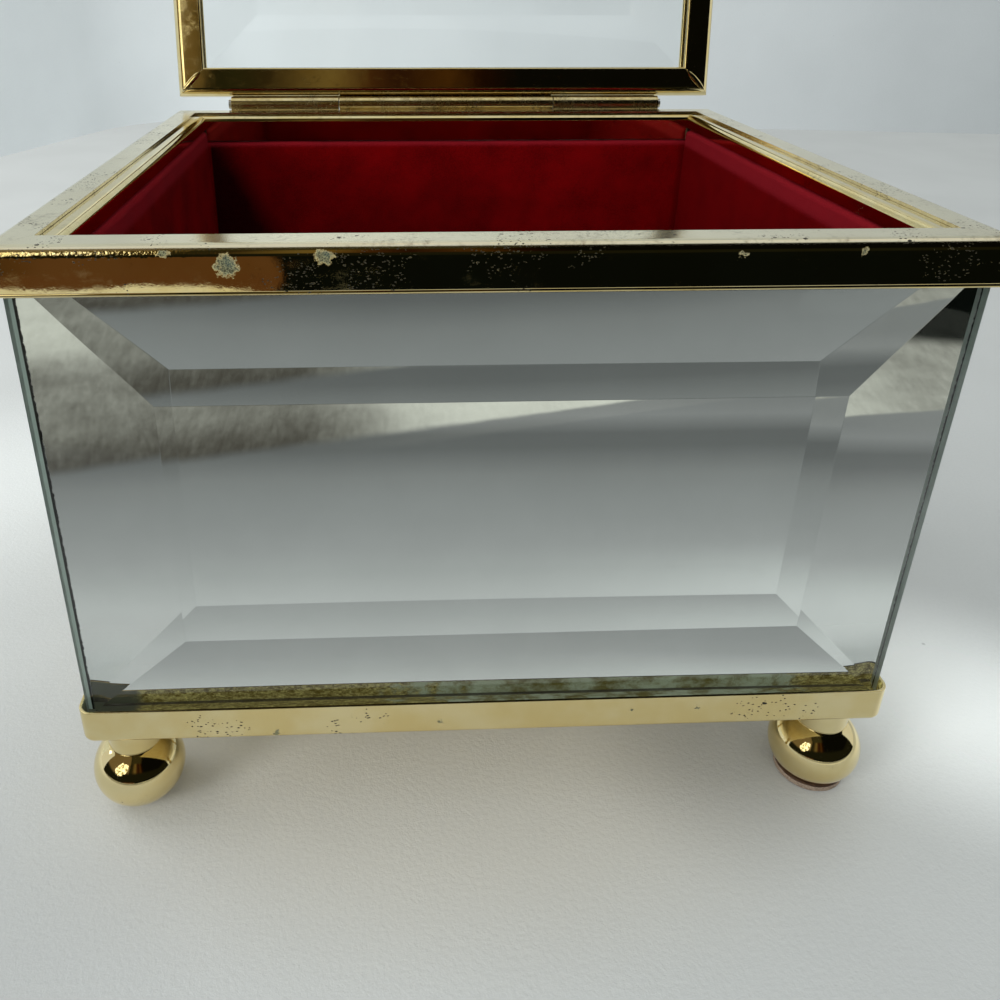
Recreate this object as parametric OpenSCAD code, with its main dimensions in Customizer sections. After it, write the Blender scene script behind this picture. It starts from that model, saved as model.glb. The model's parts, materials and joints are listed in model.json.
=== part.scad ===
// Bevelled mirror-glass casket with a gilt brass rim, a pressed tray on ball feet,
// a velvet lining and a hinged glass lid that stands open a little past upright.
// The front of the casket faces -Y, up is +Z and the floor is z = 0.

/* [Casket] */
// Width over the rim
body_w = 108; // [100:0.5:120]
// Depth over the rim
body_d = 98; // [90:0.5:110]
// Height from the tray's underside to the rim's top
wall_h = 67.3; // [60:0.1:90]

/* [Glass] */
// Thickness of the plate glass
glass_t = 6.0; // [5.5:0.1:6.6]
// Width of the ground bevel
bevel_w = 15; // [8:0.5:18]
// How much the bevel takes off the glass at its edge
bevel_depth = 3.3; // [3:0.1:3.5]
// How far the panes' bevelled edges sit behind the rim's outer face
pane_inset = 2.1; // [2.1:0.05:2.3]
// Thickness of the silvering and its backing paint
silver_t = 0.3; // [0.2:0.05:0.4]

/* [Rim] */
// Height of the rim's outer band
band_h = 5.4; // [4:0.1:7]
// Width of the rim's top flange
flange_w = 4.4; // [4.2:0.1:4.6]
// Sheet thickness of the rim and the tray
sheet_t = 0.6; // [0.5:0.05:0.6]
// Outer radius of the rim's bend
bend_r = 1.2; // [1:0.1:1.6]

/* [Inner trim] */
// Width of the trim's top leaf
trim_w = 2.3; // [2.1:0.1:2.5]
// How far the trim lies below the rim's top
trim_drop = 0.4; // [0.2:0.1:0.5]
// Depth of the front and back trim's inner band
trim_band = 4.6; // [3:0.1:6]
// Depth of the side trim's inner band
trim_side_band = 2.4; // [2:0.1:4]

/* [Tray and feet] */
// Height of the tray's upturned lip
lip_h = 5.2; // [4.6:0.1:6.5]
// Radius of the tray's upright corners
corner_r = 1.8; // [1.5:0.1:1.8]
// Height of the feet below the tray
foot_h = 15.4; // [14:0.1:17]
// Radius of a foot's ball, seen from above
ball_r = 6.3; // [5.8:0.1:6.6]
// Half the height of a foot's slightly flattened ball
ball_half_h = 5.6; // [5:0.1:6]
// Radius of the collar between the ball and the tray
collar_r = 3.7; // [3.2:0.1:4.2]
// Distance from the casket's centre to the feet, left and right
foot_x = 49; // [40:0.5:49]
// Distance from the casket's centre to the feet, front and back
foot_y = 42.5; // [36:0.5:43]

/* [Lid] */
// How far the lid stands open, from closed
lid_open = 100; // [0:1:100]
// Thickness of the lid's channel frame
lid_t = 5.6; // [5.4:0.1:6.4]
// Width of the lid's channel frame
lid_rail_w = 5.4; // [5:0.1:6]
// Radius of the channel's outer edges
lid_edge_r = 1.6; // [1:0.1:2]

/* [Hinge] */
// Length of the hinge
hinge_l = 86.4; // [60:0.2:90]
// Outer radius of the rolled knuckles
knuckle_r = 1.5; // [1.4:0.1:1.6]
// Radius of the hinge pin
pin_r = 0.6; // [0.5:0.05:0.65]

/* [Hidden] */
$fn = 64;
rim_z = foot_h + wall_h;
edge_t = glass_t - bevel_depth;
arris = pane_inset + edge_t;           // silvered face, behind the rim's outer face
pane_z = foot_h + 2.8;
pane_h = rim_z - 2.4 - pane_z;
end_gap = 0.9;                         // front and back panes' ends, inside the rim's outer face
seam_t = 0.2;
trim_t = 0.5;
hem_r = 0.45;
hem_out = 0.15;                        // how far the rolled lower edge stands out
lining_t = 2.15;
lining_gap = 0.05;
floor_t = 2.8;
ball_z = ball_half_h - 0.3;            // the ball's centre; its underside is cut flat
ball_flat = 0.5;                       // height at which a ball is cut flat
thin_pad_r = 3.1;
thick_pad_r = 4.8;
thick_pad_t = 1.2;
screw_r = 1.2;
head_r = 2.3;
head_h = 1.3;
lip_out = body_w / 2 - 0.15;           // tray's outer face, left and right
lid_gap = 0.3;
lid_w = body_w - 0.6;
lid_d = body_d - 0.2;
lid_z = rim_z + lid_gap;
lid_edge_t = 2.6;
lid_seat = 0.9;                        // glass above the lid's lower face
lid_bite = 4.6;                        // how deep the glass sits in the channel
leaf_t = 0.7;
knuckle_gap = 0.15;
pin_fit = 0.02;                        // clearance round the pin in the fixed knuckles
pin_run = 0.05;                        // clearance round the pin in the moving knuckle
axis_y = body_d / 2 + knuckle_r;
axis_z = rim_z + 0.8;
centre_l = hinge_l / 2;

// The origin lies under the middle of the open casket's bounding box
tilt = lid_open - 90;
reach_back = axis_y + (axis_y + lid_d / 2 - lid_edge_r) * sin(tilt)
    + (lid_z + lid_t - lid_edge_r - axis_z) * cos(tilt) + lid_edge_r;
reach_front = body_d / 2 - pane_inset + bevel_depth;
box_y = (reach_front - reach_back) / 2;

brass = "gold";
glass = "powderblue";
silver = "silver";
velvet = "darkred";
felt = "tan";
board = "dimgray";

// Placing

// The casket's own centre, moved so that the open casket stands over the origin
module casket() translate([0, box_y, 0]) children();

// A piece modelled on the front wall, its outer face on y = 0, put on any wall
module on_wall(side, w, d) {
    turn = side == "front" ? 0 : side == "back" ? 180 : side == "left" ? -90 : 90;
    reach = (side == "front" || side == "back") ? d / 2 : w / 2;
    rotate([0, 0, turn]) translate([0, -reach, 0]) children();
}

// The lid's pieces are modelled closed and swung open about the hinge pin
module swung() casket() translate([0, axis_y, axis_z]) rotate([-lid_open, 0, 0])
    translate([0, -axis_y, -axis_z]) children();

// Where the wall's length runs: along the width or along the depth
function run(side, w, d) = (side == "front" || side == "back") ? w : d;

// Profiles and blanks

// A bar along X whose ends are mitred at 45 degrees, from its YZ profile
module mitred_bar(len, depth, low, high) intersection() {
    rotate([90, 0, 90]) linear_extrude(len + 2, center = true) children();
    translate([0, 0, low]) linear_extrude(high - low)
        polygon([[-len / 2 - 1, -1], [len / 2 + 1, -1],
                 [len / 2 - depth, depth], [-len / 2 + depth, depth]]);
}

// A quarter bend's profile: a square with its outer corner rounded
module bent_corner(r, size) union() {
    translate([r, -size]) square([size - r, size]);
    translate([0, -size]) square([r, size - r]);
    translate([r, -r]) circle(r);
}

// The rim's profile: a bent angle with a rolled lower edge, its outer face at x = 0
module rim_profile() union() {
    difference() {
        intersection() {
            bent_corner(bend_r, band_h);
            translate([0, -band_h + hem_r]) square([flange_w, band_h]);
        }
        translate([sheet_t, -sheet_t]) bent_corner(bend_r - sheet_t, band_h + 1);
    }
    translate([hem_r - hem_out, -band_h + hem_r]) circle(hem_r, $fn = 24);
}

// The trim's profile: a top leaf that turns down into an inner band
module trim_profile(drop) difference() {
    mirror([1, 0]) intersection() {
        bent_corner(2 * trim_t, drop);
        translate([0, -drop]) square([trim_w, drop]);
    }
    mirror([1, 0]) translate([trim_t, -trim_t]) bent_corner(trim_t, drop + 1);
}

// The lid channel's profile, open inwards, with rolled lips
module channel_profile() union() {
    difference() {
        union() {
            translate([lid_edge_r, 0]) square([lid_rail_w - lid_edge_r - hem_r, lid_t]);
            translate([0, lid_edge_r]) square([lid_edge_r, lid_t - 2 * lid_edge_r]);
            for (y = [lid_edge_r, lid_t - lid_edge_r])
                translate([lid_edge_r, y]) circle(lid_edge_r);
        }
        translate([sheet_t + lid_edge_r / 2, sheet_t])
            square([lid_rail_w, lid_t - 2 * sheet_t]);
        translate([sheet_t, sheet_t + lid_edge_r / 2])
            square([lid_rail_w, lid_t - 2 * sheet_t - lid_edge_r]);
        for (y = [sheet_t, lid_t - sheet_t])
            translate([sheet_t + lid_edge_r / 2, y + sign(lid_t / 2 - y) * lid_edge_r / 2])
                circle(lid_edge_r / 2);
    }
    for (y = [hem_r, lid_t - hem_r])
        translate([lid_rail_w - hem_r, y]) circle(hem_r, $fn = 24);
}

// A bevelled pane: its back on y = thick, its bevelled edge on y = thick - edge
module bevelled_pane(w, h, thick, edge, z) hull() {
    translate([-w / 2, thick - edge, z]) cube([w, edge, h]);
    translate([-w / 2 + bevel_w, 0, z + bevel_w])
        cube([w - 2 * bevel_w, thick, h - 2 * bevel_w]);
}

// A block with upright rounded corners and a rounded lower edge
module pressed_block(w, d, h, r, edge) hull()
    for (x = [-1, 1], y = [-1, 1], a = [0, 30, 60, 90])
        translate([x * (w / 2 - r), y * (d / 2 - r), edge * (1 - sin(a))])
            cylinder(r = r - edge * (1 - cos(90 - a)), h = h - edge * (1 - sin(a)), $fn = 32);

// Base

module foot_places() for (x = [-foot_x, foot_x], y = [-foot_y, foot_y])
    translate([x, y, 0]) children();

module base_tray() color(brass) casket() difference() {
    translate([0, 0, foot_h])
        pressed_block(2 * lip_out, body_d - 0.3, lip_h, corner_r, 0.8);
    translate([0, 0, foot_h + sheet_t])
        pressed_block(2 * (lip_out - sheet_t), body_d - 0.3 - 2 * sheet_t, lip_h,
                      corner_r - sheet_t, 0.3);
    foot_places() translate([0, 0, foot_h - 1]) cylinder(r = screw_r + 0.15, h = 3);
}

module base_board() color(board) casket() difference() {
    translate([0, 0, foot_h + sheet_t])
        pressed_block(2 * (lip_out - sheet_t) - 0.3, body_d - 0.6 - 2 * sheet_t,
                      pane_z - foot_h - sheet_t, corner_r - sheet_t, 0.3);
    foot_places() translate([0, 0, foot_h]) cylinder(r = head_r + 0.4, h = 5);
}

// A turned foot: ball cut flat underneath, short collar, tapped for its screw
module foot() color(brass) difference() {
    rotate_extrude() union() {
        intersection() {
            translate([0, ball_z]) scale([1, ball_half_h / ball_r]) circle(ball_r);
            translate([0, ball_flat]) square([ball_r + 1, ball_z + ball_r]);
        }
        translate([0, ball_z]) square([collar_r, foot_h - ball_z]);
    }
    translate([0, 0, foot_h - 8]) cylinder(r = screw_r + 0.05, h = 9);
}

module foot_at(x, y) casket() translate([x, y, 0]) foot();
module foot_front_left() foot_at(-foot_x, -foot_y);
module foot_front_right() foot_at(foot_x, -foot_y);
module foot_back_left() foot_at(-foot_x, foot_y);
module foot_back_right() foot_at(foot_x, foot_y);

// Three thin felt pads, and a thick one that the ball has pressed hollow
module pad_at(x, y, r, t) color(felt) casket() translate([x, y, 0]) difference() {
    cylinder(r = r, h = t);
    if (t > ball_flat) difference() {
        translate([0, 0, ball_z]) scale([1, 1, ball_half_h / ball_r]) sphere(ball_r);
        translate([0, 0, ball_flat - 2]) cube([20, 20, 4], center = true);
    }
}
module pad_front_left() pad_at(-foot_x, -foot_y, thin_pad_r, ball_flat);
module pad_front_right() pad_at(foot_x, -foot_y, thick_pad_r, thick_pad_t);
module pad_back_left() pad_at(-foot_x, foot_y, thin_pad_r, ball_flat);
module pad_back_right() pad_at(foot_x, foot_y, thin_pad_r, ball_flat);

module foot_screws() color("silver") casket() foot_places() {
    translate([0, 0, foot_h + sheet_t]) cylinder(r = head_r, h = head_h);
    translate([0, 0, foot_h - 7]) cylinder(r = screw_r, h = 7 + sheet_t + 0.1);
}

// Mirror walls

pane_run = body_w - 2 * end_gap;
side_run = body_d - 2 * (arris + silver_t + seam_t);

module pane(side) color(glass, 0.4) casket() on_wall(side, body_w, body_d)
    translate([0, pane_inset - bevel_depth, 0])
        bevelled_pane(run(side, pane_run, side_run), pane_h, glass_t, edge_t, pane_z);
module pane_front() pane("front");
module pane_back() pane("back");
module pane_left() pane("left");
module pane_right() pane("right");

module silvering(side) color(silver) casket() on_wall(side, body_w, body_d) {
    w = run(side, pane_run, side_run) - 0.2;
    translate([-w / 2, arris, pane_z + 0.1]) cube([w, silver_t, pane_h - 0.2]);
}
module silver_front() silvering("front");
module silver_back() silvering("back");
module silver_left() silvering("left");
module silver_right() silvering("right");

// Dark cement between a side pane's end and the back of the front or back pane
module seam(x, y) color("black") casket()
    translate([x > 0 ? body_w / 2 - arris : -body_w / 2 + pane_inset,
               y > 0 ? side_run / 2 : -side_run / 2 - seam_t, pane_z])
        cube([edge_t, seam_t, pane_h]);
module seam_front_left() seam(-1, -1);
module seam_front_right() seam(1, -1);
module seam_back_left() seam(-1, 1);
module seam_back_right() seam(1, 1);

// Card that packs the panes up to the rim
module packing_frame() color(board) casket() {
    top = rim_z - trim_drop - trim_t;
    out = pane_inset + 0.1;
    in = flange_w + trim_w - 2 * trim_t;
    translate([0, 0, pane_z + pane_h]) difference() {
        translate([-body_w / 2 + out, -body_d / 2 + out, 0])
            cube([body_w - 2 * out, body_d - 2 * out, top - pane_z - pane_h]);
        translate([-body_w / 2 + in, -body_d / 2 + in, -1])
            cube([body_w - 2 * in, body_d - 2 * in, 5]);
    }
}

// Rim and inner trim

module rim(side) color(brass) casket() on_wall(side, body_w, body_d) translate([0, 0, rim_z])
    mitred_bar(run(side, body_w, body_d), flange_w + 1, -band_h - 1, 1) rim_profile();
module rim_front() rim("front");
module rim_back() rim("back");
module rim_left() rim("left");
module rim_right() rim("right");

module trim(side) color(brass) casket() on_wall(side, body_w, body_d)
    translate([0, flange_w + 0.05, rim_z - trim_drop])
        mitred_bar(run(side, body_w, body_d) - 2 * flange_w - 0.1, trim_w + 1, -trim_band - 1, 1)
            translate([trim_w, 0])
                trim_profile(run(side, trim_band, trim_side_band));
module trim_front() trim("front");
module trim_back() trim("back");
module trim_left() trim("left");
module trim_right() trim("right");

// Velvet lining

// A card panel wrapped in velvet, with a soft rounded top edge
module lining(side) color(velvet) casket() on_wall(side, body_w, body_d) {
    w = run(side, body_w - 2 * (arris + silver_t + lining_gap),
            body_d - 2 * (arris + silver_t + 2 * lining_gap + lining_t));
    h = rim_z - trim_drop - run(side, trim_band, trim_side_band) - 0.1 - pane_z;
    r = lining_t / 2;
    translate([-w / 2, arris + silver_t + lining_gap, pane_z]) hull() {
        cube([w, lining_t, h - r]);
        translate([0, r, h - r]) rotate([0, 90, 0]) cylinder(r = r, h = w, $fn = 24);
    }
}
module lining_front() lining("front");
module lining_back() lining("back");
module lining_left() lining("left");
module lining_right() lining("right");

module lining_floor() color(velvet) casket() {
    in = arris + silver_t + 2 * lining_gap + lining_t + 0.2;
    w = body_w - 2 * in;
    d = body_d - 2 * in;
    steps = [[0, 1.2], [0.3, 0.8], [1.2, 0.4], [4, 0.1], [12, 0]];
    hull() for (s = steps) translate([-w / 2 + s[0], -d / 2 + s[0], pane_z])
        cube([w - 2 * s[0], d - 2 * s[0], floor_t - s[1]]);
}

// Hinge

// A rolled knuckle along X with its bore
module knuckle(x, len, bore) difference() {
    translate([x, axis_y, axis_z]) rotate([0, 90, 0]) cylinder(r = knuckle_r, h = len);
    translate([x - 1, axis_y, axis_z]) rotate([0, 90, 0]) cylinder(r = bore, h = len + 2);
}

// A leaf between two heights, flat against the wall
module leaf(x, len, low, high, t) difference() {
    translate([x, axis_y - knuckle_r, low]) cube([len, t, high - low]);
    translate([x - 1, axis_y, axis_z]) rotate([0, 90, 0])
        cylinder(r = knuckle_r - leaf_t, h = len + 2);
}

module hinge_box_leaf() color(brass) casket() {
    outer_l = (hinge_l - centre_l) / 2 - knuckle_gap;
    low = rim_z - band_h + 2 * hem_r + 0.1;
    leaf(-hinge_l / 2, hinge_l, low, axis_z - knuckle_r - 0.2, leaf_t);
    for (x = [-hinge_l / 2, hinge_l / 2 - outer_l]) {
        leaf(x, outer_l, low, axis_z, leaf_t);
        knuckle(x, outer_l, pin_r + pin_fit);
    }
}

module hinge_lid_leaf() color(brass) swung() {
    high = axis_z + knuckle_r + 2.7;
    inset = body_d / 2 - lid_d / 2;
    translate([-hinge_l / 2, lid_d / 2, axis_z + knuckle_r + 0.2])
        cube([hinge_l, leaf_t, high - axis_z - knuckle_r - 0.2]);
    leaf(-centre_l / 2, centre_l, axis_z, axis_z + knuckle_r + 1, leaf_t);
    translate([-centre_l / 2, lid_d / 2, axis_z + knuckle_r + 0.2])
        cube([centre_l, leaf_t + inset, 1]);
    knuckle(-centre_l / 2, centre_l, pin_r + pin_run);
}

module hinge_pin() color("silver") casket() translate([0, axis_y, axis_z]) rotate([0, 90, 0]) {
    cylinder(r = pin_r, h = hinge_l + 0.2, center = true);
    for (s = [-1, 1]) translate([0, 0, s * (hinge_l / 2 + 0.3)])
        cylinder(r = pin_r + 0.3, h = 0.5, center = true);
}

// Lid

module lid_rail(side) color(brass) swung() on_wall(side, lid_w, lid_d) translate([0, 0, lid_z])
    mitred_bar(run(side, lid_w, lid_d), lid_rail_w, -1, lid_t + 1) channel_profile();
module lid_rail_front() lid_rail("front");
module lid_rail_back() lid_rail("back");
module lid_rail_left() lid_rail("left");
module lid_rail_right() lid_rail("right");

module lid_pane() color(glass, 0.3) swung() {
    w = lid_w - 2 * (lid_rail_w - lid_bite);
    d = lid_d - 2 * (lid_rail_w - lid_bite);
    translate([0, 0, lid_z + lid_seat]) hull() {
        translate([-w / 2, -d / 2, 0]) cube([w, d, lid_edge_t]);
        translate([-w / 2 + bevel_w, -d / 2 + bevel_w, 0])
            cube([w - 2 * bevel_w, d - 2 * bevel_w, glass_t]);
    }
}

base_tray();
base_board();
foot_front_left();
foot_front_right();
foot_back_left();
foot_back_right();
pad_front_left();
pad_front_right();
pad_back_left();
pad_back_right();
foot_screws();
pane_front();
pane_back();
pane_left();
pane_right();
silver_front();
silver_back();
silver_left();
silver_right();
seam_front_left();
seam_front_right();
seam_back_left();
seam_back_right();
packing_frame();
rim_front();
rim_back();
rim_left();
rim_right();
trim_front();
trim_back();
trim_left();
trim_right();
lining_front();
lining_back();
lining_left();
lining_right();
lining_floor();
hinge_box_leaf();
hinge_lid_leaf();
hinge_pin();
lid_rail_front();
lid_rail_back();
lid_rail_left();
lid_rail_right();
lid_pane();
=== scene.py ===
# %% [markdown]
# A casket of bevelled mirror glass
#
# Four mirror panes stand in a pressed brass tray on ball feet. A mitred brass rim holds them
# together at the top, velvet lines the inside, and a glass lid in a brass channel swings on a
# rolled hinge. Nearly everything that shows is a reflection, so the lesson spends its time on
# real glass thickness, on bent sheet with honest edges, and on what the mirrors have to look at.
# First the measured model is loaded, because the places and most sizes come from it.

# %% The measured frame
import json
import math

import bmesh
import bpy
from mathutils import Matrix, Vector, noise


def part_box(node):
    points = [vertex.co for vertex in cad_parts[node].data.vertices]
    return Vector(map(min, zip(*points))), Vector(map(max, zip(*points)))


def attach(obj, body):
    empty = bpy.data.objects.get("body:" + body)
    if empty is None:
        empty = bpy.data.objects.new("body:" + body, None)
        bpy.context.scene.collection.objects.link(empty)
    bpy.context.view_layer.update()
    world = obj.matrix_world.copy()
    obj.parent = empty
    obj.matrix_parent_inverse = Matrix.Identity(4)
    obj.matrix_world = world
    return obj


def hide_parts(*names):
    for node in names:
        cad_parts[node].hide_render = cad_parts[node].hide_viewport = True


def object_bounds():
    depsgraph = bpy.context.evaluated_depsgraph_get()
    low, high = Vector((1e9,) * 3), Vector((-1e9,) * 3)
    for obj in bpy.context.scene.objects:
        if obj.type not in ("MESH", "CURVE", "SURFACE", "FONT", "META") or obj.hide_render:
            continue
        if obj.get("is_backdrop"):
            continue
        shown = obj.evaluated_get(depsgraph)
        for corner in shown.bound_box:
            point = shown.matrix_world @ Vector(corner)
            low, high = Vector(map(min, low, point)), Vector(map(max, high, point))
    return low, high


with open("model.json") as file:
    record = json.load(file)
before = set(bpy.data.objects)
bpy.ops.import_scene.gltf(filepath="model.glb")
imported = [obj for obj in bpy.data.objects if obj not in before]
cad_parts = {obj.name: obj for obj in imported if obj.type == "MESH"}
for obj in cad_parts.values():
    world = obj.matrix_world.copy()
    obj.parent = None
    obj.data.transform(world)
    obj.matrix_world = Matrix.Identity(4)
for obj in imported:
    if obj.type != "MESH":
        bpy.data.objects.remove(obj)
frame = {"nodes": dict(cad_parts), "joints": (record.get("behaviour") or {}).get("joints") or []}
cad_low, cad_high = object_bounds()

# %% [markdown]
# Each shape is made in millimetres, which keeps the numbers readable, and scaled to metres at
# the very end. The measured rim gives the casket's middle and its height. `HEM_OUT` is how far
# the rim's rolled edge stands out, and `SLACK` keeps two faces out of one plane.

MM = 0.001


def span(*names):
    """The lowest and highest corner of some measured pieces together, in millimetres."""
    boxes = [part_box(name) for name in names]
    low = Vector(min(box[0][i] for box in boxes) for i in range(3)) / MM
    high = Vector(max(box[1][i] for box in boxes) for i in range(3)) / MM
    return low, high


rim_low, rim_high = span("rim_front", "rim_back", "rim_left", "rim_right")
HEM_OUT = 0.15
SLACK = 0.02
FRONT_AND_BACK = ("front", "back")
CORNERS = ("front_left", "front_right", "back_left", "back_right")
WIDTH = rim_high.x - rim_low.x - 2 * HEM_OUT
DEPTH = rim_high.y - rim_low.y - 2 * HEM_OUT
MIDDLE = (rim_low + rim_high) / 2
MIDDLE.z = 0
RIM_TOP = rim_high.z
print(f"casket {WIDTH:.1f} x {DEPTH:.1f} mm, rim at {RIM_TOP:.1f} mm, middle at y {MIDDLE.y:.2f} mm")

# %% [markdown]
# The camera stands close, a hand's width in front of the glass and a little above the rim, as a
# phone is held over a small thing. Its place, tilt and lens were solved from the casket's edges,
# and the shift is there because the picture was cropped off centre.

# %% The camera
def rotation(degrees, axis):
    return Matrix.Rotation(math.radians(degrees), 4, axis)


def link(made):
    bpy.context.scene.collection.objects.link(made)


EYE_X, EYE_FRONT, EYE_ABOVE_RIM = -13.17, 136.72, 24.99
PITCH, YAW, ROLL = 24.78, 2.40, 0.163
eye = bpy.data.cameras.new("eye")
eye.sensor_width = 36
eye.lens = 31.957
eye.shift_x, eye.shift_y = 0.0808, -0.1175
eye.clip_start = 0.005
camera = bpy.data.objects.new("eye", eye)
camera.matrix_world = (
    Matrix.Translation(Vector((EYE_X, MIDDLE.y - EYE_FRONT, RIM_TOP + EYE_ABOVE_RIM)) * MM)
    @ rotation(-YAW, "Z") @ rotation(90 - PITCH, "X") @ rotation(ROLL, "Z"))
link(camera)
bpy.context.scene.camera = camera
print("camera at", [round(v / MM, 1) for v in camera.location], "mm")

# %% [markdown]
# Materials are written as expressions. `Wire` wraps a node's output, and its operators add the
# Math nodes, so `1 - mask * 0.5` is two nodes and one line. `Finish` holds one material and
# adds every other kind of node with a single method.

# %% Writing materials as expressions
def math_node(operation, swapped=False):
    """A method that puts a Math node after a wire and another value."""
    def method(self, other):
        values = (other, self) if swapped else (self, other)
        return self.finish.node("ShaderNodeMath", {"operation": operation}, dict(enumerate(values)))
    return method


class Wire:
    """The output of a shader node, with Python's arithmetic."""

    def __init__(self, finish, socket):
        self.finish, self.socket = finish, socket

    __add__ = __radd__ = math_node("ADD")
    __mul__ = __rmul__ = math_node("MULTIPLY")
    __sub__, __rsub__ = math_node("SUBTRACT"), math_node("SUBTRACT", swapped=True)
    __truediv__, __rtruediv__ = math_node("DIVIDE"), math_node("DIVIDE", swapped=True)
    __pow__, __rpow__ = math_node("POWER"), math_node("POWER", swapped=True)
    least, most = math_node("MINIMUM"), math_node("MAXIMUM")

    def rise(self, low, high, to_low=0, to_high=1):
        """A smooth step from to_low to to_high while the value goes from low to high."""
        settings = {"interpolation_type": "SMOOTHSTEP"}
        return self.finish.node("ShaderNodeMapRange", settings,
                                {0: self, 1: low, 2: high, 3: to_low, 4: to_high})


class Finish:
    """One material, built node by node."""

    def __init__(self, name):
        self.material = bpy.data.materials.new(name)
        self.material.use_nodes = True
        self.tree = self.material.node_tree
        self.tree.nodes.clear()
        self.output = self.tree.nodes.new("ShaderNodeOutputMaterial")

    def node(self, kind, settings=None, sockets=None, output=0):
        """Adds a node of this kind. A ramp's stops are set with the other settings."""
        made = self.tree.nodes.new(kind)
        for key, value in (settings or {}).items():
            if key == "stops":
                ramp = made.color_ramp
                while len(ramp.elements) < len(value):
                    ramp.elements.new(0.5)
                for element, (place, colour) in zip(ramp.elements, value):
                    element.position, element.color = place, (*colour, 1)
            else:
                setattr(made, key, value)
        for key, value in (sockets or {}).items():
            if isinstance(value, Wire):
                self.tree.links.new(value.socket, made.inputs[key])
            else:
                made.inputs[key].default_value = value
        return Wire(self, made.outputs[output])

    def place(self):
        """The place on the object, in millimetres."""
        return self.scaled(self.node("ShaderNodeTexCoord", output="Object"), 1 / MM)

    def axes(self, place):
        """The three coordinates of a place."""
        split = self.node("ShaderNodeSeparateXYZ", sockets={0: place})
        return [Wire(self, split.socket.node.outputs[i]) for i in range(3)]

    def scaled(self, vector, by):
        return self.node("ShaderNodeVectorMath", {"operation": "SCALE"}, {0: vector, "Scale": by})

    def stretched(self, place, x, y, z):
        return self.node("ShaderNodeVectorMath", {"operation": "MULTIPLY"}, {0: place, 1: (x, y, z)})

    def grain(self, place, size, detail=3, roughness=0.5):
        """Noise whose lumps are about this many millimetres across."""
        return self.node("ShaderNodeTexNoise", sockets={
            "Vector": place, "Scale": 1 / size, "Detail": detail, "Roughness": roughness})

    def specks(self, place, size):
        """Distance from the middle of the nearest of many scattered points, in cells."""
        return self.node("ShaderNodeTexVoronoi", {"feature": "F1"},
                         {"Vector": place, "Scale": 1 / size}, "Distance")

    def shaken(self, place, size, by):
        """Pushes a place about, so that what is drawn there loses its regular outline."""
        push = self.node("ShaderNodeTexNoise", sockets={"Vector": place, "Scale": 1 / size},
                         output="Color")
        return self.node("ShaderNodeVectorMath", {"operation": "MULTIPLY_ADD"},
                         {0: push, 1: (by, by, by), 2: place})

    def nearness(self, place, spots):
        """1 in the middle of the nearest spot (x, y, z, radius), 0 at its rim, less beyond."""
        nearest = None
        for x, y, z, radius in spots:
            far = self.node("ShaderNodeVectorMath", {"operation": "DISTANCE"},
                            {0: place, 1: (x, y, z)}, "Value")
            near = 1 - far / radius
            nearest = near if nearest is None else nearest.most(near)
        return nearest

    def mix(self, share, first, second):
        """Goes from the first colour to the second as share goes from 0 to 1."""
        colours = [c if isinstance(c, Wire) else (*c, 1) for c in (first, second)]
        return self.node("ShaderNodeMix", {"data_type": "RGBA"},
                         {0: share, 6: colours[0], 7: colours[1]}, 2)

    def bump(self, height, distance):
        """Turns a height from 0 to 1 into a relief this many millimetres deep."""
        return self.node("ShaderNodeBump", sockets={
            "Height": height, "Distance": distance * MM, "Strength": 1})

    def surface(self, **sockets):
        """Ends the material in one Principled shader, with its sockets by name."""
        named = {key.replace("_", " "): value for key, value in sockets.items()}
        for key in ("Base Color", "Sheen Tint", "Specular Tint", "Emission Color"):
            if isinstance(named.get(key), tuple):
                named[key] = (*named[key], 1)
        shader = self.node("ShaderNodeBsdfPrincipled", sockets=named)
        self.tree.links.new(shader.socket, self.output.inputs["Surface"])
        return self.material


print("material helpers ready")

# %% [markdown]
# A bmesh operator hands back points, edges and faces together, and what comes next mostly wants
# the points. A few short helpers keep that in one place. `drawn_on` is a pencil that leaves a
# line behind, and `pull` draws such a line out into a wall.

# %% Drawing and pulling
def points(geometry):
    """The points among what an operator hands back."""
    return [item for item in geometry if isinstance(item, bmesh.types.BMVert)]


def move(bm, by, verts=None):
    bmesh.ops.translate(bm, vec=by, verts=verts or bm.verts[:])


def drawn_on(bm, tip, place):
    """Draws an edge from the point tip to a new place, and gives back its new end."""
    tip = bmesh.ops.extrude_vert_indiv(bm, verts=[tip])["verts"][0]
    tip.co = place
    return tip


def pull(bm, edges, by):
    """Extrudes edges into a wall."""
    move(bm, by, points(bmesh.ops.extrude_edge_only(bm, edges=edges)["geom"]))


def round_over(bm, geometry, offset, segments, affect="EDGES"):
    """Rounds edges, or in a flat sheet its corners."""
    bmesh.ops.bevel(bm, geom=geometry, offset=offset, offset_type="OFFSET", affect=affect,
                    segments=segments, profile=0.5, material=-1, clamp_overlap=True)


print("drawing helpers ready")

# %% [markdown]
# The casket stands on pale paper, near a white corner. The walls are only there to be seen:
# they cast no shadow and take no light away, so the lamp can stand behind them. Light and shade
# are painted into the paper's colour: painted lighter where the side mirrors throw the window's
# light back, painted darker in shadow where the feet keep light off, and painted warmer where the
# brass tray throws light. Paper and walls are also painted darker towards the right, for shade.

# %% Floor and walls
FRONT_GLASS = span("pane_front")[0].y
ALL_RAYS = ("camera", "diffuse", "glossy", "transmission", "shadow")


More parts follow.
